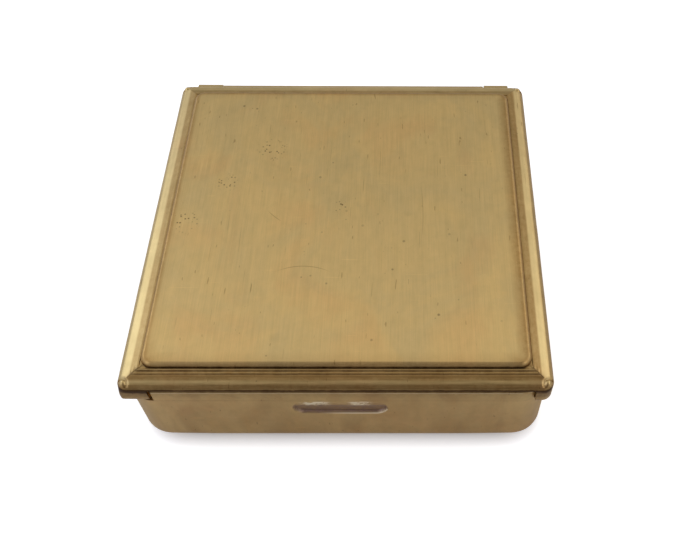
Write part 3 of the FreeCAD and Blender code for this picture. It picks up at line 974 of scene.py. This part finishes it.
def arc_scratch(tree, centre, radius, middle, reach):
    """1 along a thin scratch that follows a circle, near its middle only."""
    offset = tree.nodes.new("ShaderNodeMath")
    offset.operation = "SUBTRACT"
    offset.inputs[1].default_value = radius * MM
    tree.links.new(distance_from(tree, centre), offset.inputs[0])
    size = tree.nodes.new("ShaderNodeMath")
    size.operation = "ABSOLUTE"
    tree.links.new(offset.outputs["Value"], size.inputs[0])
    line = step_between(tree, size.outputs["Value"], ARC_WIDTH * MM, 0.0)
    return times(tree, line, around(tree, middle, reach))


def scratches(tree, scale, turn, limit):
    """1 on sparse fine scratches that run about along one axis, else 0."""
    where = tree.nodes.new("ShaderNodeTexCoord")
    mapping = tree.nodes.new("ShaderNodeMapping")
    mapping.inputs["Rotation"].default_value = (0, 0, math.radians(turn))
    mapping.inputs["Scale"].default_value = [value / MM for value in scale]
    tree.links.new(where.outputs["Object"], mapping.inputs["Vector"])
    grain = tree.nodes.new("ShaderNodeTexNoise")
    grain.inputs["Scale"].default_value = 1.0
    grain.inputs["Detail"].default_value = SCRATCH_DETAIL
    tree.links.new(mapping.outputs["Vector"], grain.inputs["Vector"])
    return fade(tree, grain.outputs["Fac"], limit, limit + SCRATCH_STEP, 0.0, 1.0)


def grained(tree, scale, edges):
    """Fine grain and wide streaks, along the border's sides or along fixed axes."""
    if edges:
        fine, long = scale
        across, along = WIDE_BORDER
        return along_edges(tree, fine, long), along_edges(tree, fine * across, long * along)
    wide_scale = [value * WIDE_GRAIN for value in scale]
    return stretched_noise(tree, scale), stretched_noise(tree, wide_scale, WIDE_DETAIL)


def multiplied(tree, base, shade):
    """A colour darkened by another."""
    return mixed(tree, "MULTIPLY", 1.0, base, shade)


def patchy(tree, light, dark, blotch, patches):
    """The metal's own colour, with darker patches."""
    low, high = PATCH_RANGE
    tone = ramp(tree, patches, [(low, dark), (high, light)])
    return mixed(tree, "MIX", blotch, light, tone)


def clouded(tree, base, mottle, cloud):
    """A colour with faint clouds."""
    low, high = MOTTLE_RANGE
    dull = (1 - cloud, 1 - cloud * CLOUD_GREEN, 1 - cloud)
    return multiplied(tree, base, ramp(tree, mottle, [(low, dull), (high, grey(1.0))]))


def streaked(tree, base, fine, wide, streak):
    """A colour with the grain's dark lines, fine and wide."""
    low, high = GRAIN_RANGE
    dull = 1 - streak
    lines = ramp(tree, fine, [(low, (dull, dull, dull * LINE_BLUE)), (high, grey(1.0))])
    base = multiplied(tree, base, lines)
    return multiplied(tree, base, fade(tree, wide, low, high, 1 - streak / 2, 1.0))


def specked(tree, base):
    """A colour with brown specks where the box is handled, and with fine scratches."""
    handled = fade(tree, stretched_noise(tree, *HANDLED), *HANDLED_FADE)
    for spacing, size, share, depth in SPECKS:
        spots = times(tree, speckle(tree, spacing, size, share), handled)
        base = mixed(tree, "MIX", times(tree, spots, depth), base, SPECK_BROWN)
    for scale, turn, limit, depth, tint in SCRATCHES:
        lines = scratches(tree, scale, turn, limit)
        base = mixed(tree, "MULTIPLY", times(tree, lines, depth), base, tint)
    return base


def marked(tree, base):
    """A colour with faint stains, and with the arcs and pits placed on the panel's top."""
    for centre, radius, middle, reach, depth in ARCS:
        line = times(tree, arc_scratch(tree, centre, radius, middle, reach), depth)
        base = mixed(tree, "MULTIPLY", line, base, ARC_TINT)
    stains = stretched_noise(tree, *STAINS)
    base = mixed(tree, "MULTIPLY", fade(tree, stains, *STAIN_FADE), base, STAIN_TINT)
    for middle, reach in CLUSTERS:
        pits = speckle(tree, PIT_SPACING, PIT_SIZE, PIT_SHARE)
        pits = times(tree, pits, around(tree, middle, reach))
        base = mixed(tree, "MIX", times(tree, pits, PIT_DEPTH), base, GRIME_AND_SHADE_BROWN)
    return base


def dulled_and_shaded(tree, base, smudge):
    """A colour dulled where the tarnish layer says: tarnish, and painted shade along the lid's front."""
    duller = multiplied(tree, base, TARNISH_AND_SHADE_TINT)
    worn = layer(tree, "tarnish_and_shade")
    amount = times(tree, worn, fade(tree, smudge, *TARNISH_AND_SHADE_FADE))
    return mixed(tree, "MIX", amount, base, duller)


def rubbed(tree, base, smudge, shader):
    """A colour with the recess's worn plating, partly painted shade, and with chips and a whitened lip, worn
    and a painted highlight, that are hardly metallic.
    """
    chips = stretched_noise(tree, *CHIPS)
    uneven = fade(tree, smudge, *RUBBED_AND_SHADED_FADE)
    base = mixed(tree, "MIX", times(tree, layer(tree, "worn"), uneven), base, WORN_AND_SHADED_GREY)
    flakes = layer(tree, "flakes")
    chipped = times(tree, flakes, fade(tree, chips, *CHIP_FADE))
    bare_and_highlight = tree.nodes.new("ShaderNodeMath")
    bare_and_highlight.operation = "MAXIMUM"
    tree.links.new(chipped, bare_and_highlight.inputs[0])
    tree.links.new(layer(tree, "lip"), bare_and_highlight.inputs[1])
    base = mixed(tree, "MIX", bare_and_highlight.outputs["Value"], base, CHIP_AND_HIGHLIGHT_WHITE)
    tree.links.new(fade(tree, bare_and_highlight.outputs["Value"], *BARE_AND_HIGHLIGHT_METALLIC), shader.inputs["Metallic"])
    return base


def glossed(tree, rough, fine, dirt_and_shade):
    """Roughness that follows the grain, and is even on the dirt and painted shade."""
    low, high = GLOSS_RANGE
    less, more = GLOSS_SPREAD
    grain = fade(tree, fine, low, high, rough - less, rough + more)
    return mixed(tree, "MIX", dirt_and_shade, grain, grey(DIRT_ROUGHNESS))


def brass(name, light, dark, rough, grain_scale, bump, streak=0.16, blotch=0.5, edges=False, recess=False,
          patch_scale=(0.11, 0.09, 0.13), cloud=0.08):
    """Metal with drawn or brushed grain, uneven tarnish, specks, and the dirt, painted shade and painted
    highlights that its wear layers give.
    """
    material, tree, shader = new_material(name)
    shader.inputs["Metallic"].default_value = 1.0
    fine, wide = grained(tree, grain_scale, edges)
    patches = stretched_noise(tree, patch_scale, *PATCH_SHAPE)
    mottle = stretched_noise(tree, *MOTTLE)
    smudge = stretched_noise(tree, *SMUDGE)
    base = patchy(tree, light, dark, blotch, patches)
    base = clouded(tree, base, mottle, cloud)
    base = streaked(tree, base, fine, wide, streak)
    base = specked(tree, base)
    base = marked(tree, base)
    # Tarnish, and painted shade along the lid's front.
    base = dulled_and_shaded(tree, base, smudge)
    # Dark brown where the grime layer says: dirt, and painted shade in creases, under the rim and along the
    # front.
    dirt_and_shade = times(tree, layer(tree, "grime_and_shade"), fade(tree, mottle, *DIRT_AND_SHADE_FADE))
    base = mixed(tree, "MIX", dirt_and_shade, base, GRIME_AND_SHADE_BROWN)
    gloss = glossed(tree, rough, fine, dirt_and_shade)
    if recess:
        base = rubbed(tree, base, smudge, shader)
    tree.links.new(base, shader.inputs["Base Color"])
    tree.links.new(gloss, shader.inputs["Roughness"])
    relief = tree.nodes.new("ShaderNodeBump")
    relief.inputs["Strength"].default_value = 1.0
    relief.inputs["Distance"].default_value = bump * MM
    tree.links.new(fine, relief.inputs["Height"])
    tree.links.new(relief.outputs["Normal"], shader.inputs["Normal"])
    return material


def dress(piece, material):
    """The piece shows this material alone."""
    piece.data.materials.clear()
    piece.data.materials.append(material)


# ---------------------------------------------------------------- object

polished = brass(
    "polished_brass", (0.85, 0.63, 0.28), (0.71, 0.50, 0.21), rough=0.32, grain_scale=(4.5, 0.25), bump=0.002,
    streak=0.14, blotch=0.5, edges=True,
)
brushed = brass(
    "brushed_brass", (0.87, 0.61, 0.25), (0.74, 0.55, 0.25), rough=0.36, grain_scale=(8.0, 0.22, 6.0),
    bump=0.0025, streak=0.1, blotch=0.6, cloud=0.05,
)
# Darker than the lid's brass: the tray's own duller metal, and partly painted shade on its front wall.
tray_brass = brass(
    "tray_brass", (0.72, 0.5, 0.21), (0.57, 0.36, 0.14), rough=0.42, grain_scale=(1.1, 1.1, 0.12), bump=0.002,
    streak=0.08, blotch=0.75, recess=True, patch_scale=(0.2, 0.2, 0.08), cloud=0.06,
)
plain = brass(
    "plain_brass", (0.74, 0.53, 0.25), (0.60, 0.42, 0.19), rough=0.33, grain_scale=(0.4, 4.0, 4.0),
    bump=0.002,
)
steel = brass(
    "steel", (0.52, 0.51, 0.49), (0.40, 0.39, 0.37), rough=0.3, grain_scale=(0.3, 6.0, 6.0), bump=0.002,
)

lid_frame = make_lid_frame()
dress(lid_frame, polished)
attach(lid_frame, "lid")
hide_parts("lid_frame")

lid_panel = make_lid_panel()
dress(lid_panel, brushed)
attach(lid_panel, "lid")
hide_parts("lid_panel")

tray = make_tray()
dress(tray, tray_brass)
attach(tray, "tray")
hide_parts("tray_shell")

NODE_MATERIALS = {
    "lid_hinge_leaf": polished,
    "lid_catch_tongue": plain,
    "hinge_pin": steel,
    "tray_hinge_leaf": polished,
    "tray_bezel": plain,
    "catch_spring": steel,
    "divider_crosswise": plain,
    "divider_lengthwise": plain,
}
for node, material in NODE_MATERIALS.items():
    dress(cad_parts[node], material)


# ---------------------------------------------------------------- studio

def area_light(name, place, size, watts, colour):
    """A softbox that faces the middle of the box's foot."""
    data = bpy.data.lights.new(name, "AREA")
    data.shape = "RECTANGLE"
    data.size = size[0] * MM
    data.size_y = size[1] * MM
    data.energy = watts
    data.color = colour
    light = bpy.data.objects.new(name, data)
    light.location = Vector(place) * MM
    light.rotation_mode = "QUATERNION"
    light.rotation_quaternion = Vector(place).to_track_quat("Z", "Y")
    bpy.context.scene.collection.objects.link(light)


def for_camera(tree, seen, other):
    """One shader for what the camera sees directly and one for every other ray."""
    path = tree.nodes.new("ShaderNodeLightPath")
    mix = tree.nodes.new("ShaderNodeMixShader")
    tree.links.new(path.outputs["Is Camera Ray"], mix.inputs["Fac"])
    tree.links.new(other, mix.inputs[1])
    tree.links.new(seen, mix.inputs[2])
    return mix.outputs["Shader"]


def make_floor():
    """A pale floor that takes the box's shadow, bright enough to look white, with a painted shadow round the
    box's foot.
    """
    mesh = bpy.data.meshes.new("floor")
    reach = FLOOR_REACH * MM
    corners = [(-reach, -reach, 0), (reach, -reach, 0), (reach, reach, 0), (-reach, reach, 0)]
    mesh.from_pydata(corners, [], [(0, 1, 2, 3)])
    floor = bpy.data.objects.new("floor", mesh)
    bpy.context.scene.collection.objects.link(floor)
    material, tree, shader = new_material("floor_paper")
    tree.nodes.remove(shader)
    paper = tree.nodes.new("ShaderNodeBsdfDiffuse")
    paper.inputs["Color"].default_value = (FLOOR_TONE, FLOOR_TONE, FLOOR_TONE, 1.0)
    glow = tree.nodes.new("ShaderNodeEmission")
    # For the camera, the floor's glow is dimmed by ambient occlusion near the box: a painted shadow.
    painted_contact_shadow = tree.nodes.new("ShaderNodeAmbientOcclusion")
    painted_contact_shadow.inputs["Distance"].default_value = PAINTED_SHADOW_REACH * MM
    tree.links.new(times(tree, painted_contact_shadow.outputs["AO"], FLOOR_GLOW), glow.inputs["Strength"])
    lit = tree.nodes.new("ShaderNodeAddShader")
    tree.links.new(paper.outputs["BSDF"], lit.inputs[0])
    tree.links.new(glow.outputs["Emission"], lit.inputs[1])
    surface = for_camera(tree, lit.outputs["Shader"], paper.outputs["BSDF"])
    tree.links.new(surface, tree.nodes["Material Output"].inputs["Surface"])
    mesh.materials.append(material)


def make_world():
    """A soft surround: bright overhead and at both sides, dim in front."""
    world = bpy.data.worlds.new("studio")
    world.use_nodes = True
    tree = world.node_tree
    where = tree.nodes.new("ShaderNodeTexCoord")
    split = tree.nodes.new("ShaderNodeSeparateXYZ")
    tree.links.new(where.outputs["Generated"], split.inputs["Vector"])
    along = tree.nodes.new("ShaderNodeMapRange")
    along.inputs["From Min"].default_value = -1.0
    tree.links.new(split.outputs["Y"], along.inputs["Value"])
    stops = [((place + 1) / 2, tone) for place, tone in SKY_ALONG]
    total = ramp(tree, along.outputs["Result"], stops)
    for start, end, low, high in SKY_SIDES:
        part = step_between(tree, split.outputs["X"], start, end)
        height = step_between(tree, split.outputs["Z"], *SKY_RISE)
        tone = mixed(tree, "MIX", height, low, high)
        total = mixed(tree, "MIX", part, total, tone)
    room = tree.nodes["Background"]
    tree.links.new(total, room.inputs["Color"])
    room.inputs["Strength"].default_value = SKY_STRENGTH
    white = tree.nodes.new("ShaderNodeBackground")
    white.inputs["Color"].default_value = (1.0, 1.0, 1.0, 1.0)
    surface = for_camera(tree, white.outputs["Background"], room.outputs["Background"])
    tree.links.new(surface, tree.nodes["World Output"].inputs["Surface"])
    bpy.context.scene.world = world


def make_camera():
    """The main view, with the small sideways shift that its framing needs."""
    data = bpy.data.cameras.new("camera")
    data.lens = CAMERA_LENS
    data.shift_x = CAMERA_SHIFT
    data.clip_start = CAMERA_NEAR * MM
    camera = bpy.data.objects.new("camera", data)
    yaw = math.radians(CAMERA_YAW)
    pitch = math.radians(CAMERA_PITCH)
    roll = math.radians(CAMERA_ROLL)
    forward = Vector((math.sin(yaw) * math.cos(pitch), math.cos(yaw) * math.cos(pitch), -math.sin(pitch)))
    level = Vector((math.cos(yaw), -math.sin(yaw), 0))
    up = level.cross(forward)
    right = level * math.cos(roll) + up * math.sin(roll)
    up = right.cross(forward)
    rotation = Matrix((right, up, -forward)).transposed()
    camera.matrix_world = Matrix.Translation(CAMERA_PLACE * MM) @ rotation.to_4x4()
    bpy.context.scene.collection.objects.link(camera)
    bpy.context.scene.camera = camera


make_floor()
make_world()
make_camera()
for light_name, light_settings in LIGHTS.items():
    area_light(light_name, *light_settings)
bpy.context.scene.view_settings.view_transform = "Standard"
